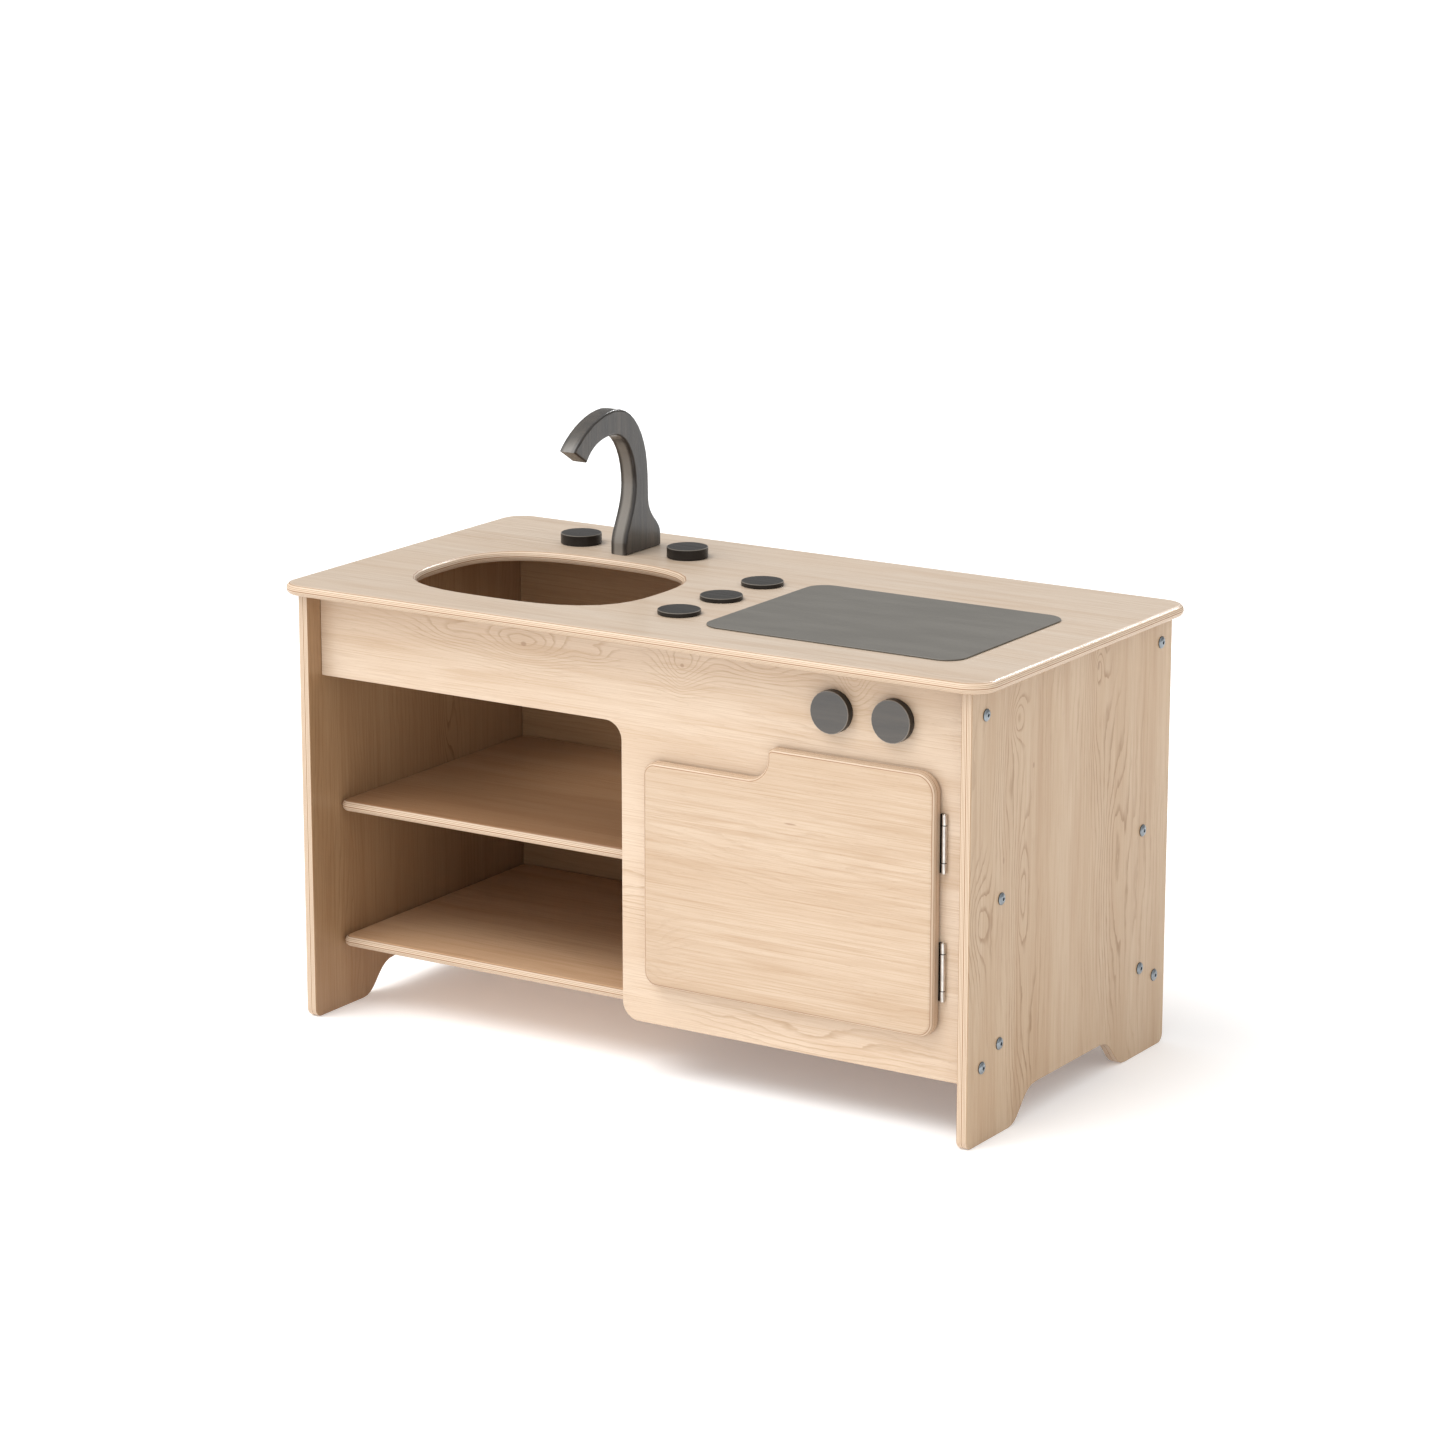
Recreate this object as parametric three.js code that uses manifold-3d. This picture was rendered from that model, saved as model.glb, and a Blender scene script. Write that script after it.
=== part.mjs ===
// Toy kitchen: a low plywood play kitchen with a sink cut-out, a wooden faucet, turning knobs,
// a hob plate, two open shelves on the left and an oven behind a hinged door on the right.
// Millimetres, +Z up, the front faces -Y. The origin is under the middle of the worktop, on the floor.
import * as THREE from 'three';
import { mergeVertices } from 'three/addons/utils/BufferGeometryUtils.js';
import Module from 'manifold-3d';

const wasm = await Module();
wasm.setup();

// Driving dimensions
const PLY = 12;                    // thickness of every plywood panel
const GAP = 0.3;                   // clearance between pieces that rest on each other
const EASED = 0.8;                 // slight rounding of sawn panel edges
const BULLNOSE = 5.6;              // edge radius of a fully rounded panel edge

const TOP_WIDTH = 871;
const TOP_DEPTH = 449;
const TOP_HEIGHT = 486;            // worktop surface above the floor
const TOP_CORNER = 30;
const TOP_FRONT_OVERHANG = 13.5;

const CASE_WIDTH = 830;            // over both side panels
const CASE_DEPTH = 427;
const FOOT_LENGTH = 86;
const FOOT_BEND = 58;              // length over which a foot curves up into the arch
const ARCH_HEIGHT = 34;
const SIDE_CORNER = 10;

const FRONT_RECESS = 22.5;         // front panel set back from the side panels' front edges
const BACK_RECESS = 18.5;
const PANEL_BOTTOM = 61;           // lower edge of the front and back panels
const APRON_BOTTOM = 382;          // lower edge of the strip above the shelves
const BAY_RIGHT = -14;             // left edge of the front panel beside the shelves
const BAY_CORNER = 20;
const DIVIDER_LEFT = -11;
const GROOVE = 4;                  // depth of the grooves that hold the boards in the divider
const DIVIDER_BELOW = 2;           // how far the divider reaches below the lowest board

const SHELF_SETBACK = 12;          // board fronts behind the front panel's rear face
const SHELF_CORNER = 12;
const LEFT_BOARDS = { lower_shelf: 76.6, upper_shelf: 230.7 };      // mid-heights
const RIGHT_BOARDS = { oven_floor: 96.7, oven_rack: 248.8 };

const OVEN_HOLE = { left: 44, right: 347, bottom: 126, top: 326, corner: 20 };
const DOOR = { left: 21.6, right: 369.2, bottom: 107, low: 348, high: 382.6, step: 172.5 };
const DOOR_GAP = 2.8;              // between the door's back and the front panel
const DOOR_ROUND = 5.2;            // round-over of the door's front edge

const SINK = { x: -205, y: -41, halfWidth: 140, halfDepth: 109.5, power: 3 };
const HOB = { x: 211, y: -36, halfWidth: 152.5, halfDepth: 118, corner: 23, thickness: 1.5 };

const FAUCET = {
  x: -206, front: 94, thickness: 21, edge: 2.5, tenonRadius: 8, tenonOffset: 35, tenonInFoot: 8,
};
const TAP_KNOBS = { x: -206.5, spread: 141, y: 126, radius: 23, height: 12 };
const BURNER_KNOBS = { x: 9.5, y: -32.5, spread: 81.5, radius: 23, height: 5 };
const OVEN_KNOBS = { x: 279.2, spread: 71.3, z: 428.8, radius: 22.5, height: 10 };
const SPINDLE = { radius: 2.2, headRadius: 5, headHeight: 2.4, hole: 2.7 };

const HINGE = {
  x: 374.4, axisOffset: 2.9, levels: { upper: 309.9, lower: 176.4 }, half: 30.5, knuckleSplit: 19.4,
  outer: 2.6, bore: 1.5, pin: 1.2, leaf: 1, reach: 22, screwReach: 13,
};
const PANEL_SCREW = { radius: 2.5, hole: 2.8, length: 36, headRadius: 6.5, headHeight: 2.6, socket: 2.1 };
const HINGE_SCREW = { radius: 1.3, headRadius: 2.6, headHeight: 0.9, length: 9 };
const SCREW_ROWS = { upper: 446, lower: 80.7, boardFront: 64.5, boardBack: 369 };
const DOWEL = { radius: 4, length: 28, inTop: 8, y: [-121, 129] };

// Levels and faces worked out from the driving dimensions
const UNDER_TOP = TOP_HEIGHT - PLY;
const CASE_FRONT = -TOP_DEPTH / 2 + TOP_FRONT_OVERHANG;
const CASE_BACK = CASE_FRONT + CASE_DEPTH;
const SIDE_OUTER = CASE_WIDTH / 2;
const SIDE_INNER = SIDE_OUTER - PLY;
const FRONT_FACE = CASE_FRONT + FRONT_RECESS;
const FRONT_REAR = FRONT_FACE + PLY;
const BACK_FACE = CASE_BACK - BACK_RECESS - PLY;
const BOARD_FRONT = FRONT_REAR + SHELF_SETBACK;
const DIVIDER_RIGHT = DIVIDER_LEFT + PLY;
const DOOR_BACK = FRONT_FACE - DOOR_GAP;
const HINGE_Y = FRONT_FACE - HINGE.axisOffset;

const X = new THREE.Vector3(1, 0, 0);
const Y = new THREE.Vector3(0, 1, 0);
const Z = new THREE.Vector3(0, 0, 1);
const LEFT = X.clone().negate();
const FRONT = Y.clone().negate();
const DOWN = Z.clone().negate();

const paint = (color, roughness, metalness = 0) =>
  new THREE.MeshStandardMaterial({ color, roughness, metalness });
const LOOKS = {
  topPly: () => paint('#dccbb6', 0.55),
  frontPly: () => paint('#eed6ba', 0.55),
  sidePly: () => paint('#cfb496', 0.55),
  innerPly: () => paint('#d9bf9f', 0.6),
  darkWood: () => paint('#4b4642', 0.5),
  hob: () => paint('#6f6f6a', 0.4, 0.3),
  steel: () => paint('#b9bdc0', 0.3, 1),
  zinc: () => paint('#8f9ba3', 0.35, 1),
  beech: () => paint('#d3b48c', 0.7),
};

const kitchen = new THREE.Group();

function addPiece(name, shape, material) {
  const geometry = shape.isBufferGeometry ? shape : toGeometry(shape);
  const mesh = new THREE.Mesh(geometry, material);
  mesh.name = name;
  kitchen.add(mesh);
  return mesh;
}

// Solids and cuts

function toSolid(geometry) {
  const bare = geometry.clone();
  bare.deleteAttribute('normal');
  bare.deleteAttribute('uv');
  const merged = mergeVertices(bare, 1e-4);
  return new wasm.Manifold(new wasm.Mesh({
    numProp: 3,
    vertProperties: new Float32Array(merged.attributes.position.array),
    triVerts: new Uint32Array(merged.index.array),
  }));
}

function toGeometry(solid) {
  const mesh = solid.getMesh();
  const geometry = new THREE.BufferGeometry();
  geometry.setAttribute('position', new THREE.BufferAttribute(new Float32Array(mesh.vertProperties), 3));
  geometry.setIndex(new THREE.BufferAttribute(new Uint32Array(mesh.triVerts), 1));
  geometry.computeVertexNormals();
  return geometry;
}

function cutAll(geometry, tools) {
  let solid = toSolid(geometry);
  for (const tool of tools) {
    solid = solid.subtract(toSolid(tool));
  }
  return solid;
}

// A box between two opposite corners
function block(low, high) {
  const size = high.map((value, i) => value - low[i]);
  const geometry = new THREE.BoxGeometry(...size);
  geometry.translate(...low.map((value, i) => value + size[i] / 2));
  return geometry;
}

// Turns a piece made along +Y so that it runs along a direction from a point
function aim(geometry, start, direction) {
  geometry.applyQuaternion(new THREE.Quaternion().setFromUnitVectors(Y, direction));
  geometry.translate(start.x, start.y, start.z);
  return geometry;
}

// A round cutting tool that starts a little before the surface and goes to the given depth
function drill(start, direction, radius, depth, segments = 12) {
  const lead = 2;
  const bit = new THREE.CylinderGeometry(radius, radius, depth + lead, segments);
  bit.translate(0, (depth - lead) / 2, 0);
  return aim(bit, start, direction);
}

// A round piece about Y from a profile of [radius, height] points
function turned(profile, segments) {
  const points = profile.map(([radius, height]) => new THREE.Vector2(radius, height));
  return new THREE.LatheGeometry(points, segments);
}

const at = (x, y, z) => new THREE.Vector3(x, y, z);

// Panels: an outline with rounded edges, laid flat, upright across X or upright across Y

function slab(outline, thickness, edge, edgeSegments = 2, curveSegments = 10) {
  const geometry = new THREE.ExtrudeGeometry(outline, {
    depth: thickness - 2 * edge,
    bevelThickness: edge,
    bevelSize: edge,
    bevelOffset: -edge,
    bevelSegments: edgeSegments,
    curveSegments,
  });
  geometry.translate(0, 0, edge);
  return geometry;
}

// An outline drawn in (x, z) becomes a panel that faces -Y and starts at its rear face
function facingFront(geometry, rear) {
  geometry.rotateX(Math.PI / 2);
  geometry.translate(0, rear, 0);
  return geometry;
}

// An outline drawn in (y, z) becomes a panel that is thick along X and starts at its left face
function facingSide(geometry, left) {
  geometry.applyMatrix4(new THREE.Matrix4().makeBasis(Y, Z, X));
  geometry.translate(left, 0, 0);
  return geometry;
}

function roundedBox(left, bottom, right, top, radius, Kind = THREE.Shape) {
  const outline = new Kind();
  outline.moveTo(left + radius, bottom);
  outline.lineTo(right - radius, bottom);
  outline.absarc(right - radius, bottom + radius, radius, -Math.PI / 2, 0);
  outline.lineTo(right, top - radius);
  outline.absarc(right - radius, top - radius, radius, 0, Math.PI / 2);
  outline.lineTo(left + radius, top);
  outline.absarc(left + radius, top - radius, radius, Math.PI / 2, Math.PI);
  outline.lineTo(left, bottom + radius);
  outline.absarc(left + radius, bottom + radius, radius, Math.PI, 1.5 * Math.PI);
  return outline;
}

// Screws and dowels

function domedScrew() {
  const { radius, length, headRadius, headHeight, socket } = PANEL_SCREW;
  const rim = 0.7;
  const profile = [[0, -length], [radius, -length + 4], [radius, 0], [headRadius, 0], [headRadius, rim]];
  for (const angle of [Math.PI / 6, Math.PI / 3.2]) {
    profile.push([headRadius * Math.cos(angle), rim + (headHeight - rim) * Math.sin(angle)]);
  }
  profile.push([socket * 1.3, headHeight], [0, headHeight]);
  const hexagon = new THREE.CylinderGeometry(socket, socket, 3, 6);
  hexagon.translate(0, headHeight, 0);
  return toGeometry(cutAll(turned(profile, 14), [hexagon]));
}

function addPanelScrew(name, side, y, z) {
  const outward = side < 0 ? LEFT : X;
  const seat = at(side * (SIDE_OUTER + GAP / 2), y, z);
  addPiece(name, aim(domedScrew(), seat, outward), LOOKS.zinc());
}

// Hole through a side panel for one screw
const screwHoleInSide = (side, y, z) =>
  drill(at(side * SIDE_OUTER, y, z), side < 0 ? X : LEFT, PANEL_SCREW.hole, PLY + 2);

// Hole in the end of a board or panel, for the same screw
const screwHoleInEnd = (side, y, z) =>
  drill(at(side * SIDE_INNER, y, z), side < 0 ? X : LEFT, PANEL_SCREW.hole, PANEL_SCREW.length - PLY + 2);

function addDowel(name, x, y) {
  const { radius, length, inTop } = DOWEL;
  const top = UNDER_TOP + inTop;
  const chamfer = 0.8;
  const profile = [
    [0, 0],
    [radius - chamfer, 0],
    [radius, chamfer],
    [radius, length - chamfer],
    [radius - chamfer, length],
    [0, length],
  ];
  addPiece(name, aim(turned(profile, 10), at(x, y, top - length), Z), LOOKS.beech());
}

// Screw positions, shared by the panels and the screws
const frontMid = FRONT_FACE + PLY / 2;
const backMid = BACK_FACE + PLY / 2;
const boardScrews = [CASE_FRONT + SCREW_ROWS.boardFront, CASE_FRONT + SCREW_ROWS.boardBack];

function sideScrewPlaces(side) {
  const places = { apron: [frontMid, SCREW_ROWS.upper] };
  if (side > 0) {
    places.front_low = [frontMid, SCREW_ROWS.lower];
  }
  places.back_high = [backMid, SCREW_ROWS.upper];
  places.back_low = [backMid, SCREW_ROWS.lower];
  const boards = side < 0 ? LEFT_BOARDS : RIGHT_BOARDS;
  for (const [board, height] of Object.entries(boards)) {
    places[`${board}_front`] = [boardScrews[0], height];
    places[`${board}_back`] = [boardScrews[1], height];
  }
  return places;
}

// Worktop

function sinkOutline() {
  const { x, y, halfWidth, halfDepth, power } = SINK;
  const steps = 44;
  const outline = new THREE.Path();
  for (let i = 0; i < steps; i += 1) {
    const angle = (2 * Math.PI * i) / steps;
    const reach = (Math.abs(Math.cos(angle)) ** power + Math.abs(Math.sin(angle)) ** power) ** (-1 / power);
    const point = [x + halfWidth * reach * Math.cos(angle), y + halfDepth * reach * Math.sin(angle)];
    if (i === 0) {
      outline.moveTo(...point);
    } else {
      outline.lineTo(...point);
    }
  }
  outline.closePath();
  return outline;
}

const tapKnobX = [-1, 1].map((side) => TAP_KNOBS.x + (side * TAP_KNOBS.spread) / 2);
const burnerKnobY = [-1, 0, 1].map((step) => BURNER_KNOBS.y + step * BURNER_KNOBS.spread);
const ovenKnobX = [-1, 1].map((side) => OVEN_KNOBS.x + (side * OVEN_KNOBS.spread) / 2);
const tenonY = FAUCET.front + FAUCET.tenonOffset;
const dowelX = SIDE_OUTER - PLY / 2;

function addWorktop() {
  const outline = roundedBox(-TOP_WIDTH / 2, -TOP_DEPTH / 2, TOP_WIDTH / 2, TOP_DEPTH / 2, TOP_CORNER);
  outline.holes.push(sinkOutline());
  const board = slab(outline, PLY, BULLNOSE, 3, 10);
  board.translate(0, 0, UNDER_TOP);
  const through = PLY + 2;
  const holes = [
    drill(at(FAUCET.x, tenonY, TOP_HEIGHT), DOWN, FAUCET.tenonRadius + GAP, through, 20),
    ...tapKnobX.map((x) => drill(at(x, TAP_KNOBS.y, TOP_HEIGHT), DOWN, SPINDLE.hole, through)),
    ...burnerKnobY.map((y) => drill(at(BURNER_KNOBS.x, y, TOP_HEIGHT), DOWN, SPINDLE.hole, through)),
  ];
  for (const x of [-dowelX, dowelX]) {
    for (const y of DOWEL.y) {
      holes.push(drill(at(x, y, UNDER_TOP), Z, DOWEL.radius + GAP, DOWEL.inTop + GAP, 14));
    }
  }
  addPiece('worktop', cutAll(board, holes), LOOKS.topPly());
}

// Side panels with arched feet

function sideOutline() {
  const { PI } = Math;
  const top = UNDER_TOP - GAP;
  const bendStart = CASE_FRONT + FOOT_LENGTH;
  const bendEnd = bendStart + FOOT_BEND;
  const rearBendStart = CASE_BACK - FOOT_LENGTH;
  const rearBendEnd = rearBendStart - FOOT_BEND;
  const pull = FOOT_BEND * 0.46;
  const outline = new THREE.Shape();
  outline.moveTo(CASE_FRONT + SIDE_CORNER, 0);
  outline.lineTo(bendStart, 0);
  outline.bezierCurveTo(bendStart + pull, 0, bendStart + pull, ARCH_HEIGHT, bendEnd, ARCH_HEIGHT);
  outline.lineTo(rearBendEnd, ARCH_HEIGHT);
  outline.bezierCurveTo(rearBendStart - pull, ARCH_HEIGHT, rearBendStart - pull, 0, rearBendStart, 0);
  outline.lineTo(CASE_BACK - SIDE_CORNER, 0);
  outline.absarc(CASE_BACK - SIDE_CORNER, SIDE_CORNER, SIDE_CORNER, -PI / 2, 0);
  outline.lineTo(CASE_BACK, top);
  outline.lineTo(CASE_FRONT, top);
  outline.lineTo(CASE_FRONT, SIDE_CORNER);
  outline.absarc(CASE_FRONT + SIDE_CORNER, SIDE_CORNER, SIDE_CORNER, PI, 1.5 * PI);
  return outline;
}

function addSide(name, side) {
  const left = side < 0 ? -SIDE_OUTER : SIDE_INNER;
  const panel = facingSide(slab(sideOutline(), PLY, EASED), left);
  const holes = Object.values(sideScrewPlaces(side)).map(([y, z]) => screwHoleInSide(side, y, z));
  for (const y of DOWEL.y) {
    const depth = DOWEL.length - DOWEL.inTop + GAP;
    holes.push(drill(at(side * dowelX, y, UNDER_TOP - GAP), DOWN, DOWEL.radius + GAP, depth, 14));
  }
  addPiece(name, cutAll(panel, holes), LOOKS.sidePly());
  for (const [place, [y, z]] of Object.entries(sideScrewPlaces(side))) {
    addPanelScrew(`${name}_screw_${place}`, side, y, z);
  }
  ['front', 'back'].forEach((place, i) => {
    addDowel(`${name}_top_dowel_${place}`, side * dowelX, DOWEL.y[i]);
  });
}

// Front panel: one L-shaped sheet with the oven hole

function frontOutline() {
  const { PI } = Math;
  const reach = SIDE_INNER - GAP;
  const top = UNDER_TOP - GAP;
  const outline = new THREE.Shape();
  outline.moveTo(-reach, APRON_BOTTOM);
  outline.lineTo(BAY_RIGHT - BAY_CORNER, APRON_BOTTOM);
  outline.absarc(BAY_RIGHT - BAY_CORNER, APRON_BOTTOM - BAY_CORNER, BAY_CORNER, PI / 2, 0, true);
  outline.lineTo(BAY_RIGHT, PANEL_BOTTOM + BAY_CORNER);
  outline.absarc(BAY_RIGHT + BAY_CORNER, PANEL_BOTTOM + BAY_CORNER, BAY_CORNER, PI, 1.5 * PI);
  outline.lineTo(reach, PANEL_BOTTOM);
  outline.lineTo(reach, top);
  outline.lineTo(-reach, top);
  outline.closePath();
  const { left, bottom, right, top: holeTop, corner } = OVEN_HOLE;
  outline.holes.push(roundedBox(left, bottom, right, holeTop, corner, THREE.Path));
  return outline;
}

const hingeScrewLevels = (level) => [level - 22, level + 22];

function addFrontPanel() {
  const panel = facingFront(slab(frontOutline(), PLY, EASED), FRONT_REAR);
  const holes = [
    screwHoleInEnd(-1, frontMid, SCREW_ROWS.upper),
    screwHoleInEnd(1, frontMid, SCREW_ROWS.upper),
    screwHoleInEnd(1, frontMid, SCREW_ROWS.lower),
    ...ovenKnobX.map((x) => drill(at(x, FRONT_FACE, OVEN_KNOBS.z), Y, SPINDLE.hole, PLY + 2)),
  ];
  for (const level of Object.values(HINGE.levels)) {
    for (const z of hingeScrewLevels(level)) {
      const place = at(HINGE.x - HINGE.screwReach, FRONT_FACE, z);
      holes.push(drill(place, Y, HINGE_SCREW.radius + GAP, HINGE_SCREW.length, 10));
    }
  }
  addPiece('front_panel', cutAll(panel, holes), LOOKS.frontPly());
}

// Back panel, divider and boards

function addBackPanel() {
  const reach = SIDE_INNER - GAP;
  const outline = roundedBox(-reach, PANEL_BOTTOM, reach, UNDER_TOP - GAP, 2);
  const panel = facingFront(slab(outline, PLY, EASED, 1, 2), BACK_FACE + PLY);
  const holes = [];
  for (const side of [-1, 1]) {
    for (const z of [SCREW_ROWS.lower, SCREW_ROWS.upper]) {
      holes.push(screwHoleInEnd(side, backMid, z));
    }
  }
  addPiece('back_panel', cutAll(panel, holes), LOOKS.innerPly());
}

function grooveTool(fromX, toX, middle) {
  const half = PLY / 2 + GAP;
  return block([fromX, FRONT_REAR - 1, middle - half], [toX, BACK_FACE + 1, middle + half]);
}

function addDivider() {
  const bottom = LEFT_BOARDS.lower_shelf - PLY / 2 - DIVIDER_BELOW;
  const frontBottom = [DIVIDER_LEFT, FRONT_REAR + GAP, bottom];
  const backTop = [DIVIDER_RIGHT, BACK_FACE - GAP, UNDER_TOP - GAP];
  const grooves = [
    ...Object.values(LEFT_BOARDS).map((z) => grooveTool(DIVIDER_LEFT - 1, DIVIDER_LEFT + GROOVE, z)),
    ...Object.values(RIGHT_BOARDS).map((z) => grooveTool(DIVIDER_RIGHT - GROOVE, DIVIDER_RIGHT + 1, z)),
  ];
  addPiece('divider', cutAll(block(frontBottom, backTop), grooves), LOOKS.innerPly());
}

function addBoards() {
  const back = BACK_FACE - GAP;
  const end = SIDE_INNER - GAP;
  for (const [name, z] of Object.entries(LEFT_BOARDS)) {
    const outline = roundedBox(-end, BOARD_FRONT, DIVIDER_LEFT + GROOVE - GAP, back, SHELF_CORNER);
    const board = slab(outline, PLY, BULLNOSE, 3, 6);
    board.translate(0, 0, z - PLY / 2);
    const holes = boardScrews.map((y) => screwHoleInEnd(-1, y, z));
    addPiece(name, cutAll(board, holes), LOOKS.innerPly());
  }
  for (const [name, z] of Object.entries(RIGHT_BOARDS)) {
    const outline = roundedBox(DIVIDER_RIGHT - GROOVE + GAP, BOARD_FRONT, end, back, 2);
    const board = slab(outline, PLY, EASED, 1, 2);
    board.translate(0, 0, z - PLY / 2);
    const holes = boardScrews.map((y) => screwHoleInEnd(1, y, z));
    addPiece(name, cutAll(board, holes), LOOKS.innerPly());
  }
}

// Oven door: overlay door with a stepped top edge as a finger grip

function doorOutline() {
  const { PI } = Math;
  const { left, right, bottom, low, high, step } = DOOR;
  const corner = { lowLeft: 16, lowRight: 18, highRight: 22, lip: 6.5, notch: 24, topLeft: 14 };
  const outline = new THREE.Shape();
  outline.moveTo(left + corner.lowLeft, bottom);
  outline.lineTo(right - corner.lowRight, bottom);
  outline.absarc(right - corner.lowRight, bottom + corner.lowRight, corner.lowRight, -PI / 2, 0);
  outline.lineTo(right, high - corner.highRight);
  outline.absarc(right - corner.highRight, high - corner.highRight, corner.highRight, 0, PI / 2);
  outline.lineTo(step + corner.lip, high);
  outline.absarc(step + corner.lip, high - corner.lip, corner.lip, PI / 2, PI);
  outline.lineTo(step, low + corner.notch);
  outline.absarc(step - corner.notch, low + corner.notch, corner.notch, 0, -PI / 2, true);
  outline.lineTo(left + corner.topLeft, low);
  outline.absarc(left + corner.topLeft, low - corner.topLeft, corner.topLeft, PI / 2, PI);
  outline.lineTo(left, bottom + corner.lowLeft);
  outline.absarc(left + corner.lowLeft, bottom + corner.lowLeft, corner.lowLeft, PI, 1.5 * PI);
  return outline;
}

// The door is made thicker at the back and cut flat there, so that only its front edge is round
function addDoor() {
  const extra = DOOR_ROUND + 1;
  const thick = facingFront(slab(doorOutline(), PLY + extra, DOOR_ROUND, 3, 8), DOOR_BACK + extra);
  const { left, right, bottom, high } = DOOR;
  const beyond = 9;
  const cutFrom = [left - beyond, DOOR_BACK, bottom - beyond];
  const cutTo = [right + beyond, DOOR_BACK + extra + beyond, high + beyond];
  const tools = [block(cutFrom, cutTo)];
  for (const level of Object.values(HINGE.levels)) {
    for (const z of hingeScrewLevels(level)) {
      const place = at(HINGE.x - HINGE.screwReach, DOOR_BACK, z);
      tools.push(drill(place, FRONT, HINGE_SCREW.radius + GAP, HINGE_SCREW.length, 10));
    }
  }
  addPiece('oven_door', cutAll(thick, tools), LOOKS.frontPly());
}

// Hinges: two leaves, a pin and flat-headed screws each

function knuckle(fromZ, toZ) {
  const { outer, bore } = HINGE;
  const profile = [[bore, fromZ], [outer, fromZ], [outer, toZ], [bore, toZ], [bore, fromZ]];
  return toSolid(aim(turned(profile, 16), at(HINGE.x, HINGE_Y, 0), Z));
}

function countersink(place, direction) {
  const { radius, headRadius, headHeight } = HINGE_SCREW;
  const cone = new THREE.CylinderGeometry(radius + GAP, headRadius + GAP, headHeight + 0.4, 16);
  return toSolid(aim(cone, place, direction));
}

function hingeLeaf(level, nearFace, spans, plateEnd, screwDirection) {
  const { x, half, reach, outer, screwReach, leaf } = HINGE;
  const clear = x - outer - 0.4;
  let solid = toSolid(block([x - reach, nearFace, level - half], [clear, nearFace + leaf, level + half]));
  for (const [low, high] of spans) {
    const tab = block([clear - 1, nearFace, level + low], [x + plateEnd, nearFace + leaf, level + high]);
    solid = solid.add(toSolid(tab)).add(knuckle(level + low, level + high));
  }
  for (const z of hingeScrewLevels(level)) {
    solid = solid.subtract(countersink(at(x - screwReach, nearFace + leaf / 2, z), screwDirection));
  }
  return solid;
}

function addHingeScrew(name, place, direction) {
  const { radius, headRadius, headHeight, length } = HINGE_SCREW;
  const profile = [
    [0, 0],
    [headRadius, 0],
    [headRadius, 0.1],
    [radius, headHeight],
    [radius, length - 2],
    [0, length],
  ];
  addPiece(name, aim(turned(profile, 12), place, direction), LOOKS.steel());
}

// A rod with slightly pointed ends, centred on the hinge's middle
function hingePin(halfLength, radius) {
  const tip = radius - 0.3;
  const shoulder = halfLength - 0.4;
  const profile = [
    [0, -halfLength],
    [tip, -halfLength],
    [radius, -shoulder],
    [radius, shoulder],
    [tip, halfLength],
    [0, halfLength],
  ];
  return turned(profile, 12);
}

function addHinge(side, level) {
  const { x, half, knuckleSplit, bore, pin, leaf, screwReach } = HINGE;
  const frameFace = FRONT_FACE - GAP - leaf;
  const doorFace = DOOR_BACK + 0.2;
  const outerSpans = [[-half, -knuckleSplit - 0.2], [knuckleSplit + 0.2, half]];
  const innerSpan = [[-knuckleSplit + 0.2, knuckleSplit - 0.2]];
  const frame = hingeLeaf(level, frameFace, outerSpans, 0, Y);
  const wing = hingeLeaf(level, doorFace, innerSpan, -bore - 0.3, FRONT);
  addPiece(`${side}_hinge_frame_leaf`, frame, LOOKS.steel());
  addPiece(`${side}_hinge_door_leaf`, wing, LOOKS.steel());
  addPiece(`${side}_hinge_pin`, aim(hingePin(half + 0.6, pin), at(x, HINGE_Y, level), Z), LOOKS.steel());
  hingeScrewLevels(level).forEach((z, i) => {
    const row = i === 0 ? 'low' : 'high';
    addHingeScrew(`${side}_hinge_frame_screw_${row}`, at(x - screwReach, frameFace, z), Y);
    addHingeScrew(`${side}_hinge_door_screw_${row}`, at(x - screwReach, doorFace + leaf, z), FRONT);
  });
}

// Hob plate, faucet and knobs

function addHob() {
  const { x, y, halfWidth, halfDepth, corner, thickness } = HOB;
  const outline = roundedBox(x - halfWidth, y - halfDepth, x + halfWidth, y + halfDepth, corner);
  const plate = slab(outline, thickness, 0.4, 1, 8);
  plate.translate(0, 0, TOP_HEIGHT + GAP);
  addPiece('hob_plate', plate, LOOKS.hob());
}

// Side view of the faucet, measured from the foot's front edge; the spout points to -Y
function faucetOutline() {
  const outline = new THREE.Shape();
  outline.moveTo(70, 0);
  outline.lineTo(70, 14);
  outline.bezierCurveTo(70, 30, 47, 34, 46, 58);
  outline.bezierCurveTo(45.5, 72, 46, 82, 44, 98);
  outline.bezierCurveTo(39, 136, 15, 165, -19, 166);
  outline.bezierCurveTo(-51, 166, -83, 149, -98.5, 130.5);
  outline.lineTo(-74.5, 116);
  outline.bezierCurveTo(-63, 133, -43, 138.5, -24, 138.5);
  outline.bezierCurveTo(3, 138.5, 20, 108, 20, 76);
  outline.bezierCurveTo(20, 48, 1, 30, 0, 12);
  outline.lineTo(0, 0);
  return outline;
}

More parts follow.
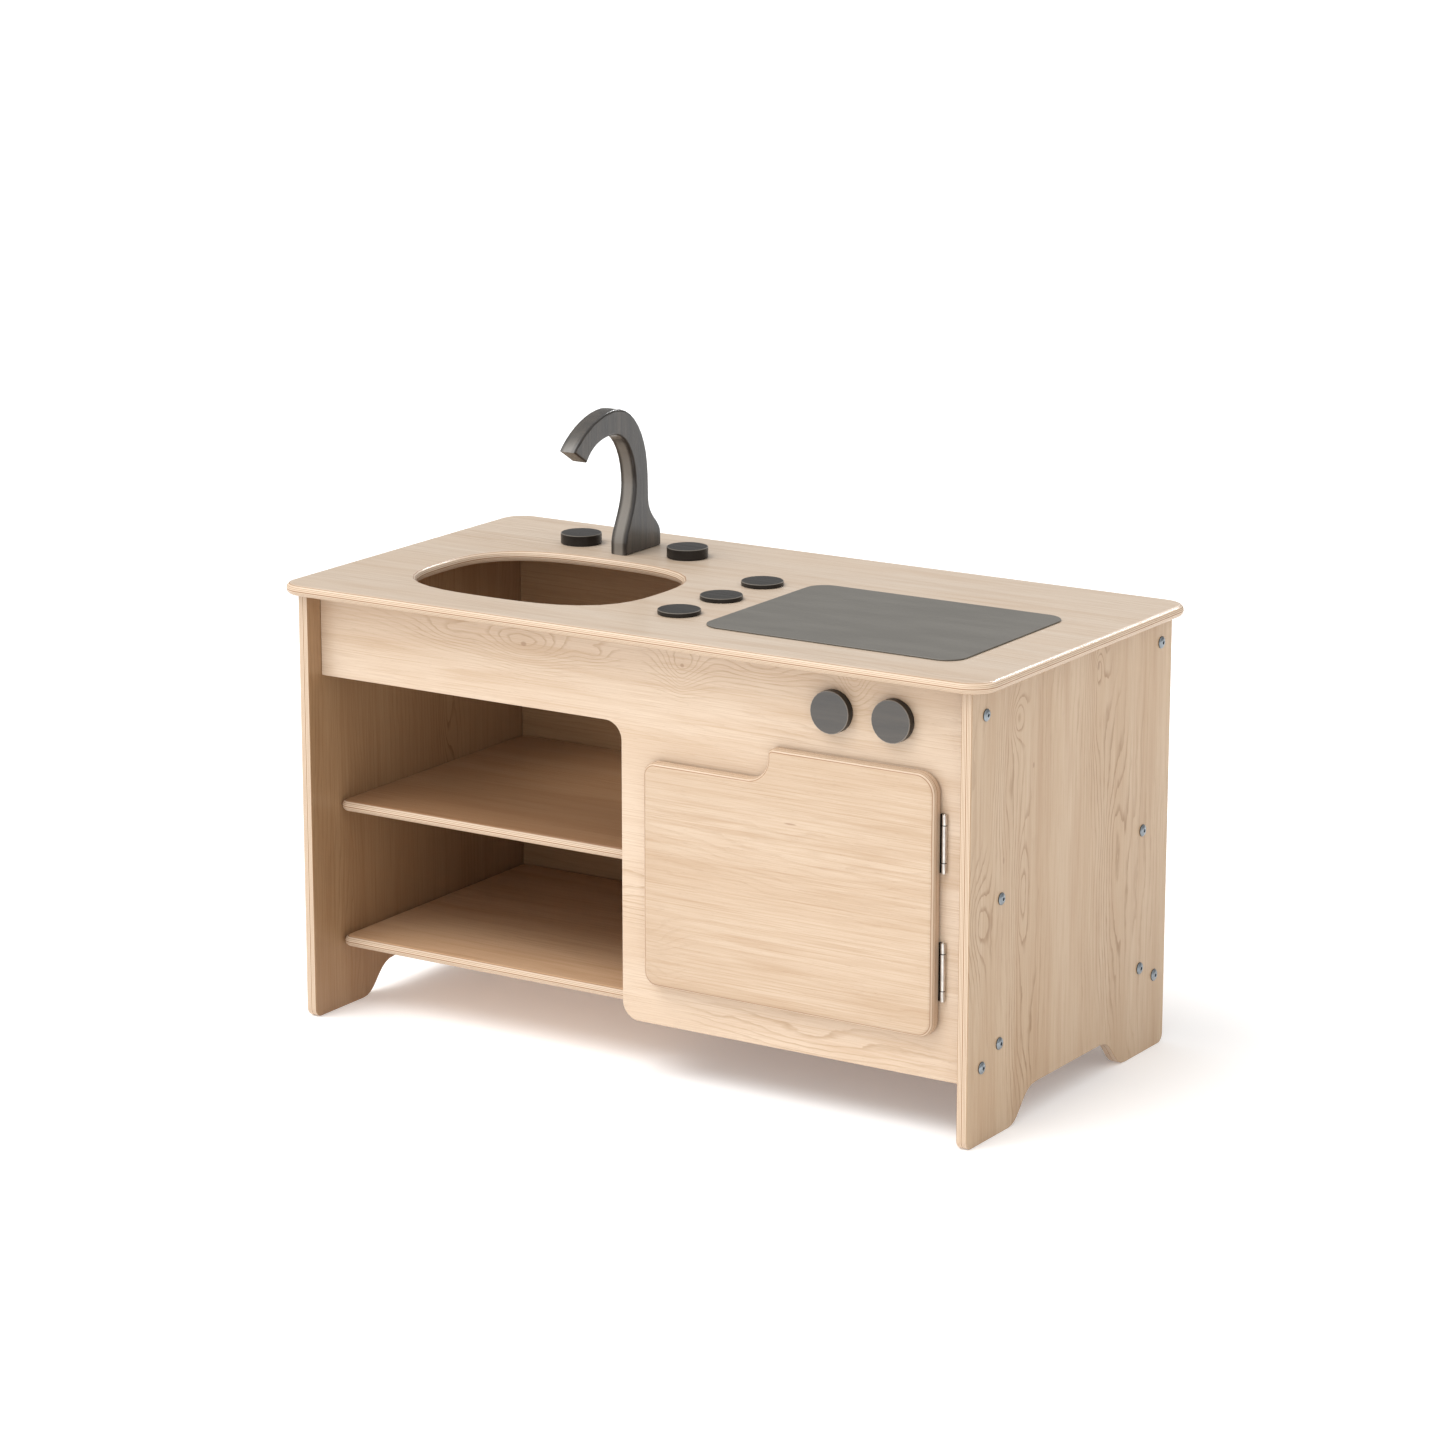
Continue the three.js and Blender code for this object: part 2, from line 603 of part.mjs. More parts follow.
function addFaucet() {
  const { x, front, thickness, edge, tenonRadius, tenonInFoot } = FAUCET;
  const body = facingSide(slab(faucetOutline(), thickness, edge, 3, 9), x - thickness / 2);
  body.translate(0, front, TOP_HEIGHT + GAP);
  const tenonLength = PLY + tenonInFoot;
  const tenon = new THREE.CylinderGeometry(tenonRadius, tenonRadius, tenonLength, 20);
  aim(tenon, at(x, tenonY, UNDER_TOP + tenonLength / 2), Z);
  addPiece('faucet', toSolid(body).add(toSolid(tenon)), LOOKS.darkWood());
}

function knobProfile(radius, height, boreDepth) {
  const round = 1.2;
  const bore = SPINDLE.radius + GAP;
  const profile = [[0, boreDepth], [bore, boreDepth], [bore, 0], [radius - 0.6, 0], [radius, 0.6]];
  for (let i = 0; i <= 2; i += 1) {
    const angle = (Math.PI / 4) * i;
    profile.push([radius - round + round * Math.cos(angle), height - round + round * Math.sin(angle)]);
  }
  profile.push([0, height]);
  return profile;
}

// A knob and the headed spindle that holds it from behind the panel it turns on
function addKnob(name, seat, outward, radius, height) {
  const cover = height > 8 ? 3 : 1.6;
  const boreDepth = height - cover;
  const knob = turned(knobProfile(radius, height, boreDepth), 28);
  const base = seat.clone().addScaledVector(outward, GAP);
  addPiece(name, aim(knob, base, outward), LOOKS.darkWood());
  const head = PLY + GAP;
  const { headRadius, headHeight } = SPINDLE;
  const profile = [
    [0, -head - headHeight],
    [headRadius - 0.6, -head - headHeight],
    [headRadius, -head - headHeight + 0.6],
    [headRadius, -head],
    [SPINDLE.radius, -head],
    [SPINDLE.radius, boreDepth],
    [0, boreDepth],
  ];
  addPiece(`${name}_spindle`, aim(turned(profile, 10), seat.clone(), outward), LOOKS.steel());
}

function addKnobs() {
  ['left', 'right'].forEach((side, i) => {
    const tapSeat = at(tapKnobX[i], TAP_KNOBS.y, TOP_HEIGHT);
    addKnob(`tap_knob_${side}`, tapSeat, Z, TAP_KNOBS.radius, TAP_KNOBS.height);
    const ovenSeat = at(ovenKnobX[i], FRONT_FACE, OVEN_KNOBS.z);
    addKnob(`oven_knob_${side}`, ovenSeat, FRONT, OVEN_KNOBS.radius, OVEN_KNOBS.height);
  });
  ['front', 'middle', 'back'].forEach((place, i) => {
    const seat = at(BURNER_KNOBS.x, burnerKnobY[i], TOP_HEIGHT);
    addKnob(`burner_knob_${place}`, seat, Z, BURNER_KNOBS.radius, BURNER_KNOBS.height);
  });
}

addWorktop();
addSide('left_side', -1);
addSide('right_side', 1);
addFrontPanel();
addBackPanel();
addDivider();
addBoards();
addDoor();
for (const [side, level] of Object.entries(HINGE.levels)) {
  addHinge(side, level);
}
addHob();
addFaucet();
addKnobs();

export default kitchen;
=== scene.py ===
"""Looks for the toy kitchen: plywood, stained faucet and knobs, satin hob plate and steel fittings."""
import math
from functools import partial

import bpy
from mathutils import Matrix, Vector


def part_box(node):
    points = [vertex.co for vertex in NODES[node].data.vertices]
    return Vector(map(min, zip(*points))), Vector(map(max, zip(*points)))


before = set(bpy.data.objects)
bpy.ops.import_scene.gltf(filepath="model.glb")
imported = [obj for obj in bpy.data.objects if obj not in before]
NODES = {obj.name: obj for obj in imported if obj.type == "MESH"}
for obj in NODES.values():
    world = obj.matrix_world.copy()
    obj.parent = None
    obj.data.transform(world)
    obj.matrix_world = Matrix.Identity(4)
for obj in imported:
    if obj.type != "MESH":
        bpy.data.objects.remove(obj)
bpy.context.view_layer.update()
scene = bpy.context.scene
AXES = {"x": 0, "y": 1, "z": 2}
MM = 0.001
HALF_PLY = 6 * MM
FACE_VENEER = 0.55 * MM
PLY_WAVER = 0.18 * MM
WOOD_RELIEF = 0.09 * MM
WARP_RINGS, SWAY_RINGS = 1.7, 9.0
KNOT_FALLOFF = 1.15
# How far the rings round a knot show, in sizes of the knot
KNOT_HALO = 1.9
# The dark late wood's part of a ring
LATE_WOOD_START, LATE_WOOD_END = 0.58, 0.93
# Fractions of the half thickness where tan end grain gives way to cream long grain and back
PLY_STRIPES = (0.15, 0.38, 0.44, 0.64, 0.70, 0.92)
EDGE_CREAM = (210, 188, 163)
EDGE_TAN = (153, 115, 85)


def linear(red, green, blue):
    """An 8-bit sRGB colour as linear RGBA."""
    parts = []
    for value in (red, green, blue):
        c = value / 255
        parts.append(c / 12.92 if c <= 0.04045 else ((c + 0.055) / 1.055) ** 2.4)
    return (*parts, 1.0)


def shaded(tone, red, green, blue):
    """An 8-bit sRGB tone with its channels scaled, as linear RGBA."""
    return linear(*[min(255, int(c * k)) for c, k in zip(tone, (red, green, blue))])


class Graph:
    """Adds nodes to a tree; every input may be a number, a colour or another node's socket.

    Noise scales are in cycles per metre, along x, y and z or along and across the grain.
    """

    def __init__(self, tree):
        self.tree = tree

    def node(self, kind, **settings):
        made = self.tree.nodes.new(kind)
        for key, value in settings.items():
            setattr(made, key, value)
        return made

    def put(self, socket, value):
        if isinstance(value, bpy.types.NodeSocket):
            self.tree.links.new(value, socket)
        else:
            socket.default_value = value

    def math(self, operation, *values):
        made = self.node("ShaderNodeMath", operation=operation)
        for socket, value in zip(made.inputs, values):
            self.put(socket, value)
        return made.outputs[0]

    def combine(self, x, y, z):
        made = self.node("ShaderNodeCombineXYZ")
        for socket, value in zip(made.inputs, (x, y, z)):
            self.put(socket, value)
        return made.outputs[0]

    def stretched(self, place, scales, seed=0.0):
        """A place with each coordinate scaled, shifted by a seed so that no two panels match."""
        return self.combine(*[
            self.math("MULTIPLY_ADD", part, scale, seed * (1.7 + index))
            for index, (part, scale) in enumerate(zip(place, scales))
        ])

    def noise(self, vector, scale=1.0, detail=3.0, roughness=0.5, distortion=0.0):
        made = self.node("ShaderNodeTexNoise")
        settings = {"Vector": vector, "Scale": scale, "Detail": detail,
                    "Roughness": roughness, "Distortion": distortion}
        for name, value in settings.items():
            self.put(made.inputs[name], value)
        return made.outputs[0]

    def ramp(self, value, low, high, start=0.0, end=1.0):
        """Value between low and high eased from start to end, held outside them."""
        made = self.node("ShaderNodeMapRange", interpolation_type="SMOOTHSTEP")
        for socket, part in zip(made.inputs, (value, low, high, start, end)):
            self.put(socket, part)
        return made.outputs[0]

    def mix(self, factor, a, b, blend="MIX"):
        made = self.node("ShaderNodeMix", data_type="RGBA", blend_type=blend)
        self.put(made.inputs[0], factor)
        self.put(made.inputs[6], a)
        self.put(made.inputs[7], b)
        return made.outputs[2]

    def bands(self, value, stops, first, second, soft=0.012):
        """Colours that change over from first to second and back at each stop, starting with second."""
        made = self.node("ShaderNodeValToRGB")
        pairs = [(0.0, second)]
        for index, stop in enumerate(stops):
            before, after = (second, first) if index % 2 == 0 else (first, second)
            pairs += [(stop - soft, before), (stop + soft, after)]
        ramp = made.color_ramp
        while len(ramp.elements) < len(pairs):
            ramp.elements.new(1.0)
        for element, (position, colour) in zip(ramp.elements, pairs):
            element.position = position
            element.color = colour
        self.put(made.inputs[0], value)
        return made.outputs[0]

    def bump(self, height, distance):
        made = self.node("ShaderNodeBump")
        self.put(made.inputs["Height"], height)
        made.inputs["Distance"].default_value = distance
        made.inputs["Strength"].default_value = 1.0
        return made.outputs[0]

    def object_place(self):
        """Row-frame x, y and z of the shaded point at rest, in metres."""
        split = self.node("ShaderNodeSeparateXYZ")
        self.put(split.inputs[0], self.node("ShaderNodeTexCoord").outputs["Object"])
        return split.outputs[:3]


def new_material(name, **constants):
    """A material with one Principled shader, its constant values set on the shader itself."""
    material = bpy.data.materials.new(name)
    material.use_nodes = True
    graph = Graph(material.node_tree)
    shader = material.node_tree.nodes["Principled BSDF"]
    for key, value in constants.items():
        shader.inputs[key.replace("_", " ")].default_value = value
    return material, graph, shader


# Plywood: face veneers with growth rings and knots, and stripes wherever the plies show at an edge

def closeness(graph, along, across, u, v, half_u, half_v):
    """Squared distance from a knot at (u, v), which is 1 on an ellipse of those half sizes."""
    du = graph.math("DIVIDE", graph.math("SUBTRACT", along, u), half_u)
    dv = graph.math("DIVIDE", graph.math("SUBTRACT", across, v), half_v)
    return graph.math("ADD", graph.math("MULTIPLY", du, du), graph.math("MULTIPLY", dv, dv))


def veneer_noise(graph, along, across, scales, seed, **settings):
    """Noise over the face veneer, with its scales along and across the grain."""
    return graph.noise(graph.stretched((along, across, 0.0), (*scales, 1.0), seed), **settings)


def ring_field(graph, along, across, seed, spacing, knots):
    """Height whose whole-number contours are growth rings.

    They run along the grain, wander by WARP_RINGS and SWAY_RINGS rings and close round each knot.
    """
    warp = veneer_noise(graph, along, across, (14.0, 46.0), seed, detail=3.0, roughness=0.55)
    sway = veneer_noise(graph, along, across, (2.4, 8.0), seed + 3.1, detail=2.0)
    straight = graph.math("DIVIDE", across, spacing)
    field = graph.math("MULTIPLY_ADD", graph.math("SUBTRACT", warp, 0.5), WARP_RINGS, straight)
    field = graph.math("MULTIPLY_ADD", graph.math("SUBTRACT", sway, 0.5), SWAY_RINGS, field)
    for u, v, half_u, half_v, rings in knots:
        reach = closeness(graph, along, across, u, v, half_u, half_v)
        falloff = graph.math("ADD", 1.0, graph.math("POWER", reach, KNOT_FALLOFF))
        bulge = graph.math("DIVIDE", rings, falloff)
        field = graph.math("ADD", field, bulge)
    return field


def ring_lines(graph, field):
    """A soft rise and a quick fall once a ring, as late wood against the next year's early wood."""
    phase = graph.math("FRACT", field)
    rise = graph.ramp(phase, LATE_WOOD_START, LATE_WOOD_END)
    fall = graph.ramp(phase, LATE_WOOD_END, 1.0, 1.0, 0.0)
    return graph.math("MULTIPLY", rise, fall)


def ply_material(name, node, ply, grain, tone, seed, spacing, knots, pins, figure, inner):
    """Plywood for one CAD panel. ply is the axis through its thickness and grain the way its veneers run.

    inner is +1 or -1 where the face on that side of the ply axis looks into the cabinet and gets painted
    shade.
    """
    varnish = {"Specular_IOR_Level": 0.4, "Coat_Weight": 0.3, "Coat_Roughness": 0.15}
    material, graph, shader = new_material(name, **varnish)
    low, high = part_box(node)
    place = graph.object_place()
    cross = next(axis for axis in "xyz" if axis not in (ply, grain))
    along, across, depth = (place[AXES[axis]] for axis in (grain, cross, ply))

    # Face veneer
    def figure_noise(scales, shift, **settings):
        return veneer_noise(graph, along, across, scales, seed + shift, **settings)

    field = ring_field(graph, along, across, seed, spacing * MM, knots)
    lines = ring_lines(graph, field)
    swirl = graph.ramp(figure_noise((4.2, 17.0), 7.7, detail=3.0), 0.42, 0.74, 0.04, 0.62)
    for u, v, half_u, half_v, _ in knots:
        near = closeness(graph, along, across, u, v, half_u * KNOT_HALO, half_v * KNOT_HALO)
        swirl = graph.math("MAXIMUM", swirl, graph.ramp(near, 0.2, 1.5, 1.0, 0.0))
    wear_and_highlight = figure_noise((45.0, 220.0), 8.0, detail=2.0)
    rings = graph.math("MULTIPLY", lines, swirl)
    rings = graph.math("MULTIPLY", rings, graph.ramp(wear_and_highlight, 0.35, 0.62, 0.6, 1.0))
    thread = figure_noise((8.0, 760.0), 6.0, detail=3.0, roughness=0.6)
    wave = figure_noise((5.0, 95.0), 4.0, detail=3.0, distortion=0.3)
    veneer = (along, across, depth)
    fibre = graph.noise(graph.stretched(veneer, (26.0, 1500.0, 1500.0), seed), detail=4.0, roughness=0.62)
    fleck = graph.noise(graph.stretched(veneer, (110.0, 1500.0, 1500.0), seed + 2.0), detail=2.0)
    fleck = graph.ramp(fleck, 0.63, 0.74)
    cloud = figure_noise((2.6, 16.0), 5.0, detail=3.0)
    blush = figure_noise((1.1, 4.0), 9.0, detail=1.0)

    deep = shaded(tone, 0.86, 0.79, 0.71)
    face = graph.mix(graph.ramp(cloud, 0.35, 0.75, 0.0, 0.42), linear(*tone), deep)
    face = graph.mix(graph.ramp(blush, 0.4, 0.7, 0.0, 0.3), face, shaded(tone, 1.04, 1.04, 1.04))
    face = graph.mix(graph.math("MULTIPLY", rings, 0.95 * figure), face, shaded(tone, 0.74, 0.65, 0.54))
    face = graph.mix(graph.ramp(wave, 0.45, 0.75, 0.0, 0.45), face, deep)
    face = graph.mix(graph.ramp(thread, 0.42, 0.8, 0.0, 0.7), face, deep)
    face = graph.mix(graph.ramp(fibre, 0.3, 0.75, 0.0, 0.34), face, deep)
    face = graph.mix(graph.math("MULTIPLY", fleck, 0.22), face, shaded(tone, 0.7, 0.6, 0.5))
    for u, v, half_u, half_v in pins:
        near = closeness(graph, along, across, u, v, half_u, half_v)
        face = graph.mix(graph.ramp(near, 0.15, 1.0, 0.5, 0.0), face, shaded(tone, 0.66, 0.54, 0.43))

    bottom, top = low[AXES[ply]], high[AXES[ply]]
    centre = (bottom + top) / 2
    # Faces that look into the cabinet are darkened as painted shade
    if inner:
        inward = graph.math("MULTIPLY", graph.math("SUBTRACT", depth, centre), inner)
        painted_shade = graph.mix(1.0, face, INNER_SHADE, "MULTIPLY")
        face = graph.mix(graph.ramp(inward, 0.0, MM), face, painted_shade)

    # Edges: thin face veneers over thicker ones, cream long grain and tan end grain by turns
    middle = graph.math("ABSOLUTE", graph.math("SUBTRACT", depth, centre))
    waver = graph.noise(graph.stretched(place, (22.0, 22.0, 22.0), seed), detail=1.0)
    below = graph.math("SUBTRACT", (top - bottom) / 2, middle)
    below = graph.math("MULTIPLY_ADD", graph.math("SUBTRACT", waver, 0.5), PLY_WAVER, below)
    streak_scale = [9.0, 9.0, 9.0]
    streak_scale[AXES[ply]] = 1500.0
    streak = graph.noise(graph.stretched(place, streak_scale, seed), detail=3.0)
    cream, tan = linear(*EDGE_CREAM), linear(*EDGE_TAN)
    edge = graph.bands(graph.math("DIVIDE", below, HALF_PLY), PLY_STRIPES, cream, tan)
    edge = graph.mix(graph.ramp(streak, 0.4, 0.8, 0.0, 0.22), edge, tan)
    inside = graph.ramp(below, FACE_VENEER * 0.8, FACE_VENEER * 1.2)
    graph.put(shader.inputs["Base Color"], graph.mix(inside, face, edge))

    rough = graph.ramp(cloud, 0.3, 0.7, 0.40, 0.52)
    rough = graph.math("MULTIPLY_ADD", rings, 0.07, rough)
    rough = graph.math("MULTIPLY_ADD", inside, 0.10, rough)
    graph.put(shader.inputs["Roughness"], rough)

    height = graph.math("MULTIPLY_ADD", fibre, 0.5, graph.math("MULTIPLY", rings, -0.35))
    height = graph.math("MULTIPLY_ADD", fleck, -0.5, height)
    graph.put(shader.inputs["Normal"], graph.bump(height, WOOD_RELIEF))
    return material


# Stained wood, sheet metal and fittings

STAIN_DARK = (49, 43, 36)
STAIN_PALE = (82, 72, 60)
STAIN_RELIEF = 0.08 * MM


def stained_wood(name, grain, seed, figure, shade, gloss, painted_light_and_shade=None):
    """Solid wood stained graphite: dark, with lighter fibres and open pores, under a satin varnish.

    figure is the strength of the fibres, shade scales the stain's lightness and gloss the varnish.
    The tone-change function, if given, adds a piece's painted highlights and painted shade to its colour.
    """
    varnish = {"Specular_IOR_Level": gloss, "Coat_Weight": gloss, "Coat_Roughness": 0.18}
    material, graph, shader = new_material(name, **varnish)
    place = graph.object_place()
    scales = [520.0, 520.0, 520.0]
    scales[AXES[grain]] = 16.0
    fibre = graph.noise(graph.stretched(place, scales, seed), detail=4.0, roughness=0.6)
    broad = [70.0, 70.0, 70.0]
    broad[AXES[grain]] = 5.0
    band = graph.noise(graph.stretched(place, broad, seed + 4.0), detail=3.0, distortion=0.4)
    pore_scale = [900.0, 900.0, 900.0]
    pore_scale[AXES[grain]] = 60.0
    pore = graph.ramp(graph.noise(graph.stretched(place, pore_scale, seed + 8.0), detail=1.0), 0.6, 0.72)
    dark, pale = (linear(*[c * shade for c in tint]) for tint in (STAIN_DARK, STAIN_PALE))
    colour = graph.mix(graph.ramp(band, 0.3, 0.7, 0.0, figure), dark, pale)
    colour = graph.mix(graph.ramp(fibre, 0.3, 0.75, 0.0, 0.6 * figure), colour, linear(33, 31, 29))
    colour = graph.mix(graph.math("MULTIPLY", pore, 0.6 * figure), colour, linear(20, 18, 17))
    if painted_light_and_shade:
        colour = painted_light_and_shade(graph, shader, place, colour)
    graph.put(shader.inputs["Base Color"], colour)
    graph.put(shader.inputs["Roughness"], graph.ramp(fibre, 0.3, 0.75, 0.28, 0.42))
    height = graph.math("MULTIPLY_ADD", fibre, 0.6, graph.math("MULTIPLY", pore, -0.8))
    graph.put(shader.inputs["Normal"], graph.bump(height, STAIN_RELIEF))
    return material


def front_highlight_and_corner_shade(graph, shader, place, colour):
    """A painted highlight along the middle of the faucet's narrow front edge, and painted shade at its
    corners.
    """
    low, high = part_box("faucet")
    off_middle = graph.math("ABSOLUTE", graph.math("SUBTRACT", place[0], (low.x + high.x) / 2))
    half = (high.x - low.x) / 2
    split = graph.node("ShaderNodeSeparateXYZ")
    graph.put(split.inputs[0], graph.node("ShaderNodeTexCoord").outputs["Normal"])
    forward = graph.ramp(split.outputs[1], -0.45, -0.98)
    band = graph.ramp(off_middle, half * 0.35, half * 0.72, 1.0, 0.0)
    wear_and_highlight = graph.math("MULTIPLY", forward, graph.math("MULTIPLY", band, 0.85))
    colour = graph.mix(wear_and_highlight, colour, linear(132, 126, 118))
    past_band = graph.ramp(off_middle, half * 0.72, half * 0.86)
    before_side = graph.ramp(off_middle, half * 0.96, half * 0.995, 1.0, 0.0)
    corner = graph.math("MULTIPLY", past_band, before_side)
    return graph.mix(graph.math("MULTIPLY", corner, 0.7), colour, linear(26, 22, 19))


def rim_highlight_and_side_shade(graph, shader, place, colour, axis, face, gloss):
    """A knob has a painted highlight round its rim, and painted shade on its turned side, which is also
    duller than its face.
    """
    behind = graph.math("ABSOLUTE", graph.math("SUBTRACT", place[AXES[axis]], face))
    off_face = graph.ramp(behind, 0.05 * MM, 0.3 * MM)
    before_side = graph.ramp(behind, 0.7 * MM, 1.2 * MM, 1.0, 0.0)
    rim_highlight = graph.math("MULTIPLY", off_face, before_side)
    colour = graph.mix(graph.math("MULTIPLY", rim_highlight, 0.75), colour, linear(126, 120, 112))
    side = (behind, 0.9 * MM, 1.6 * MM)
    graph.put(shader.inputs["Coat Weight"], graph.ramp(*side, gloss, 0.05))
    graph.put(shader.inputs["Specular IOR Level"], graph.ramp(*side, gloss, 0.2))
    return graph.mix(graph.ramp(*side, 0.0, 0.8), colour, linear(34, 29, 25))


def knuckle_shadows(graph, shader, place, colour):
    """A hinge leaf has painted shade in the groove beside its barrel and in the splits between its
    knuckles.
    """
    x, y, z = place
    reach = closeness(graph, x, y, *HINGE_AXIS, BARREL_RADIUS, BARREL_RADIUS)
    groove = graph.math("MULTIPLY", graph.ramp(reach, 1.0, 1.25), graph.ramp(reach, 4.2, 5.4, 1.0, 0.0))
    colour = graph.mix(groove, colour, linear(38, 36, 34))
    for split in KNUCKLE_SPLITS:
        gap = graph.math("ABSOLUTE", graph.math("SUBTRACT", z, split))
        colour = graph.mix(graph.ramp(gap, 0.3 * MM, 0.7 * MM, 0.9, 0.0), colour, linear(30, 28, 26))
    return colour


def painted_seat_shadow(graph, shader, place, colour):
    """A panel screw's head has painted shadow round its lowest edge, against the panel."""
    above = graph.math("SUBTRACT", graph.math("ABSOLUTE", place[0]), SCREW_SEAT)
    return graph.mix(graph.ramp(above, 0.6 * MM, 1.1 * MM, 0.85, 0.0), colour, linear(44, 40, 37))


METAL_RELIEF = 0.01 * MM


def metal(name, tint, rough, seed, brushed=None, painted_light_and_shade=None):
    """Bright steel or zinc with fine drawing marks and faint smudges."""
    material, graph, shader = new_material(name, Metallic=1.0)
    place = graph.object_place()
    smudge = graph.noise(graph.stretched(place, (180.0, 180.0, 180.0), seed), detail=4.0)
    scales = [1400.0, 1400.0, 1400.0]
    if brushed:
        scales[AXES[brushed]] = 90.0
    mark = graph.noise(graph.stretched(place, scales, seed + 2.0), detail=3.0)
    dull = shaded(tint, 0.7, 0.7, 0.7)
    colour = graph.mix(graph.ramp(smudge, 0.35, 0.75, 0.0, 0.3), linear(*tint), dull)
    colour = graph.mix(graph.ramp(mark, 0.4, 0.8, 0.0, 0.2), colour, dull)
    # A piece's painted shade, if it has one, goes into the colour here
    if painted_light_and_shade:
        colour = painted_light_and_shade(graph, shader, place, colour)
    graph.put(shader.inputs["Base Color"], colour)
    graph.put(shader.inputs["Roughness"], graph.ramp(smudge, 0.3, 0.7, rough, rough + 0.14))
    graph.put(shader.inputs["Normal"], graph.bump(mark, METAL_RELIEF))
    return material


def hob_finish():
    """Satin grey powder paint: a very fine orange-peel surface with faint rub marks."""
    material, graph, shader = new_material("hob_satin_grey", Specular_IOR_Level=0.5)
    place = graph.object_place()
    peel = graph.noise(graph.stretched(place, (900.0, 900.0, 900.0), 1.0), detail=2.0)
    rub = graph.noise(graph.stretched(place, (9.0, 40.0, 9.0), 2.0), detail=5.0, roughness=0.6)
    speck = graph.noise(graph.stretched(place, (2600.0, 2600.0, 2600.0), 3.0), detail=1.0)
    speck = graph.ramp(speck, 0.6, 0.75)
    colour = graph.mix(graph.ramp(rub, 0.3, 0.75), linear(94, 90, 83), linear(99, 95, 88))
    colour = graph.mix(graph.math("MULTIPLY", speck, 0.25), colour, linear(150, 150, 145))
    graph.put(shader.inputs["Base Color"], colour)
    graph.put(shader.inputs["Roughness"], graph.ramp(rub, 0.3, 0.75, 0.36, 0.46))
    graph.put(shader.inputs["Normal"], graph.bump(peel, 0.03 * MM))
    return material


def dowel_wood():
    """Turned beech: pale pink-brown with short dark rays."""
    material, graph, shader = new_material("beech_dowel")
    place = graph.object_place()
    fibre = graph.noise(graph.stretched(place, (700.0, 700.0, 30.0), 5.0), detail=3.0)
    ray = graph.noise(graph.stretched(place, (900.0, 900.0, 260.0), 6.0), detail=1.0)
    ray = graph.ramp(ray, 0.6, 0.7)
    colour = graph.mix(graph.ramp(fibre, 0.3, 0.7), linear(222, 190, 152), linear(196, 158, 120))
    colour = graph.mix(graph.math("MULTIPLY", ray, 0.5), colour, linear(150, 106, 74))
    graph.put(shader.inputs["Base Color"], colour)
    graph.put(shader.inputs["Roughness"], graph.ramp(fibre, 0.3, 0.7, 0.55, 0.68))
    graph.put(shader.inputs["Normal"], graph.bump(fibre, 0.1 * MM))
    return material


def finish_node(name, material):
    mesh = NODES[name].data
    mesh.materials.clear()
    mesh.materials.append(material)


# Rounded edges shade smoothly: a modifier joins the facets and keeps corners above SHARP_CORNER sharp

SHARP_CORNER = math.radians(34)
WELD_DISTANCE = 0.005 * MM
LARGE_FACES_LEAD = 100


def smoothing_group():
    group = bpy.data.node_groups.new("smooth_by_angle", "GeometryNodeTree")
    group.interface.new_socket("Geometry", in_out="INPUT", socket_type="NodeSocketGeometry")
    group.interface.new_socket("Geometry", in_out="OUTPUT", socket_type="NodeSocketGeometry")
    graph = Graph(group)
    start, end = graph.node("NodeGroupInput"), graph.node("NodeGroupOutput")
    weld = graph.node("GeometryNodeMergeByDistance")
    graph.put(weld.inputs["Geometry"], start.outputs[0])
    weld.inputs["Distance"].default_value = WELD_DISTANCE
    normals = graph.node("GeometryNodeSetMeshNormal", mode="SHARPNESS")
    graph.put(normals.inputs["Mesh"], weld.outputs[0])
    normals.inputs["Remove Custom"].default_value = True
    angle = graph.node("GeometryNodeInputMeshEdgeAngle").outputs["Unsigned Angle"]
    compare = graph.node("FunctionNodeCompare", data_type="FLOAT", operation="GREATER_THAN")
    graph.put(compare.inputs[0], angle)
    compare.inputs[1].default_value = SHARP_CORNER
    graph.put(normals.inputs["Edge Sharpness"], compare.outputs[0])
    normals.inputs["Face Sharpness"].default_value = False
    graph.put(end.inputs[0], normals.outputs[0])
    return group


SMOOTHING = smoothing_group()


def smooth(obj):
    modifier = obj.modifiers.new("smooth", "NODES")
    modifier.node_group = SMOOTHING
    weighted = obj.modifiers.new("weighted_normals", "WEIGHTED_NORMAL")
    weighted.keep_sharp = True
    weighted.weight = LARGE_FACES_LEAD


# Veneer tones as 8-bit sRGB. Each is set to the brightness its faces show, so the differences between
# them
# are partly painted light and shade: the door is darker than the front as painted shade, the inner and
# upper shelf tones are darker as painted shade, and the lower shelf tone is lighter as painted light
TOP_TONE = (205, 189, 171)
FRONT_TONE = (219, 199, 177)
DOOR_TONE = (205, 183, 159)
SIDE_TONE = (194, 168, 137)
INNER_TONE = (174, 137, 102)
UPPER_SHELF_TONE = (165, 129, 96)
LOWER_SHELF_TONE = (214, 180, 146)

# Knots as (along, across, half length, half width, rings) and small dark pin knots as the first four of
# those, in metres, at the places of the photograph's larger swirls
FRONT_KNOTS = [
    (-0.1363, 0.4500, 0.050, 0.0200, 7.5),
    (-0.2300, 0.4500, 0.034, 0.0120, 2.4),
    (-0.0480, 0.4500, 0.020, 0.0090, 2.2),
    (0.0615, 0.4520, 0.026, 0.0190, 6.5),
    (0.0600, 0.4340, 0.010, 0.0120, 2.0),
    (0.1570, 0.4620, 0.044, 0.0140, 4.0),
    (0.2667, 0.4640, 0.014, 0.0240, 5.0),
    (-0.0100, 0.2000, 0.060, 0.0200, 3.0),
    (0.2300, 0.0800, 0.090, 0.0120, 1.5),
]
FRONT_PINS = [(-0.1363, 0.4500, 0.0045, 0.0030), (0.0615, 0.4520, 0.0030, 0.0025)]
